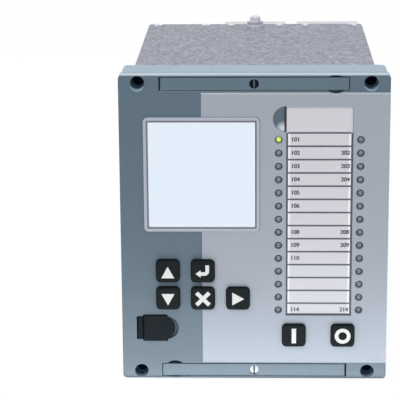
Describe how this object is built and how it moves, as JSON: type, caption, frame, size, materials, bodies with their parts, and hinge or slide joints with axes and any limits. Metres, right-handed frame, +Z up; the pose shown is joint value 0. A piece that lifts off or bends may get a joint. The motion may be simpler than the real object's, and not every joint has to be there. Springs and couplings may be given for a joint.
{
  "type": "protection relay",
  "caption": "Panel-mounted numerical protection relay: withdrawable unit with display, keys, lamps, label strip and handles in a galvanised case with rear terminals.",
  "frame": {"origin": "middle of the four panel fixing holes, on the panel's surface where the frame's rear face rests", "axes": "+X to the right seen from the front, +Y to the rear through the panel, +Z up"},
  "size_m": [0.1504, 0.2519, 0.177],
  "materials": {
    "galvanised_sheet": "spangled zinc coating",
    "frame_plastic": "satin light blue-grey",
    "zinc_steel": "bright zinc plating",
    "insert_brass": "turned",
    "black_plastic": "matte moulded",
    "terminal_plastic": "matte moulded",
    "fascia_plastic": "fine-grained satin blue-grey",
    "overlay_silver": "satin silver film",
    "display_glass": "clear and flat",
    "display_module": "pale blank display",
    "label_paper": "printed card",
    "lamp_lit": "lit yellow-green",
    "lamp_clear": "clear, unlit",
    "board_laminate": "solder resist",
    "copper_winding": "varnished winding",
    "capacitor_sleeve": "shrink sleeve",
    "key_rubber": "matte near-black"
  },
  "bodies": {
    "case": {"case_shell": "galvanised_sheet", "rear_panel": "galvanised_sheet", "mounting_frame": "frame_plastic", "frame_rivets": "zinc_steel", "latch_inserts": "insert_brass", "upper_rails": "black_plastic", "lower_rails": "black_plastic", "terminal_block_centre": "terminal_plastic", "terminal_block_right": "terminal_plastic", "terminal_screws": "zinc_steel", "blanking_plate": "galvanised_sheet", "rear_screws": "zinc_steel", "earth_screw": "zinc_steel", "earth_washer": "zinc_steel", "earth_nut": "zinc_steel"},
    "relay_unit": {"fascia": "fascia_plastic", "front_overlay": "overlay_silver", "lcd_bezel": "overlay_silver", "lcd_window": "display_glass", "lcd_panel": "display_module", "lcd_spacers": "zinc_steel", "label_card": "label_paper", "led_healthy": "lamp_lit", "leds_left": "lamp_clear", "leds_right": "lamp_clear", "hmi_board": "board_laminate", "key_switches": "black_plastic", "board_spacers": "zinc_steel", "fascia_screws": "zinc_steel", "service_port_socket": "zinc_steel", "port_hinge_pin": "zinc_steel", "handle_pins": "zinc_steel", "chassis_front_plate": "galvanised_sheet", "chassis_left_side": "galvanised_sheet", "chassis_right_side": "galvanised_sheet", "chassis_rear_plate": "galvanised_sheet", "card_guides": "black_plastic", "chassis_screws": "zinc_steel", "analogue_board": "board_laminate", "io_board": "board_laminate", "power_board": "board_laminate", "board_connectors": "black_plastic", "current_transformers": "copper_winding", "output_relays": "black_plastic", "power_transformer": "copper_winding", "smoothing_capacitors": "capacitor_sleeve", "rear_connector_centre": "black_plastic", "rear_connector_right": "black_plastic"},
    "top_handle": {"top_handle": "fascia_plastic"},
    "bottom_handle": {"bottom_handle": "fascia_plastic"},
    "top_handle_screw": {"top_handle_screw": "zinc_steel"},
    "bottom_handle_screw": {"bottom_handle_screw": "zinc_steel"},
    "key_up": {"key_up": "key_rubber"},
    "key_down": {"key_down": "key_rubber"},
    "key_enter": {"key_enter": "key_rubber"},
    "key_cancel": {"key_cancel": "key_rubber"},
    "key_right": {"key_right": "key_rubber"},
    "key_close": {"key_close": "key_rubber"},
    "key_open": {"key_open": "key_rubber"},
    "service_port_cover": {"service_port_cover": "black_plastic"}
  },
  "joints": [
    {"name": "unit_slide", "type": "slide", "parent": "case", "child": "relay_unit", "axis": [0, -1, 0], "range_m": [0, 0.17]},
    {"name": "top_handle_swing", "type": "hinge", "parent": "relay_unit", "child": "top_handle", "pos_m": [-0.04885, -0.029, 0.0834], "axis": [0, 0, -1], "range_deg": [0, 90]},
    {"name": "bottom_handle_swing", "type": "hinge", "parent": "relay_unit", "child": "bottom_handle", "pos_m": [0.04885, -0.029, -0.0834], "axis": [0, 0, 1], "range_deg": [0, 90]},
    {"name": "top_handle_screw_turn", "type": "hinge", "parent": "top_handle", "child": "top_handle_screw", "pos_m": [0, -0.028, 0.0834], "axis": [0, 1, 0], "continuous": true},
    {"name": "bottom_handle_screw_turn", "type": "hinge", "parent": "bottom_handle", "child": "bottom_handle_screw", "pos_m": [0, -0.028, -0.0834], "axis": [0, 1, 0], "continuous": true},
    {"name": "key_up_press", "type": "slide", "parent": "relay_unit", "child": "key_up", "axis": [0, 1, 0], "range_m": [0, 0.001], "stiffness_N_per_m": 1000, "springref_m": -0.0004},
    {"name": "key_down_press", "type": "slide", "parent": "relay_unit", "child": "key_down", "axis": [0, 1, 0], "range_m": [0, 0.001], "stiffness_N_per_m": 1000, "springref_m": -0.0004},
    {"name": "key_enter_press", "type": "slide", "parent": "relay_unit", "child": "key_enter", "axis": [0, 1, 0], "range_m": [0, 0.001], "stiffness_N_per_m": 1000, "springref_m": -0.0004},
    {"name": "key_cancel_press", "type": "slide", "parent": "relay_unit", "child": "key_cancel", "axis": [0, 1, 0], "range_m": [0, 0.001], "stiffness_N_per_m": 1000, "springref_m": -0.0004},
    {"name": "key_right_press", "type": "slide", "parent": "relay_unit", "child": "key_right", "axis": [0, 1, 0], "range_m": [0, 0.001], "stiffness_N_per_m": 1000, "springref_m": -0.0004},
    {"name": "key_close_press", "type": "slide", "parent": "relay_unit", "child": "key_close", "axis": [0, 1, 0], "range_m": [0, 0.001], "stiffness_N_per_m": 1000, "springref_m": -0.0004},
    {"name": "key_open_press", "type": "slide", "parent": "relay_unit", "child": "key_open", "axis": [0, 1, 0], "range_m": [0, 0.001], "stiffness_N_per_m": 1000, "springref_m": -0.0004},
    {"name": "port_cover_swing", "type": "hinge", "parent": "relay_unit", "child": "service_port_cover", "pos_m": [-0.06465, -0.0299, -0.0582], "axis": [0, 0, -1], "range_deg": [0, 100]}
  ]
}
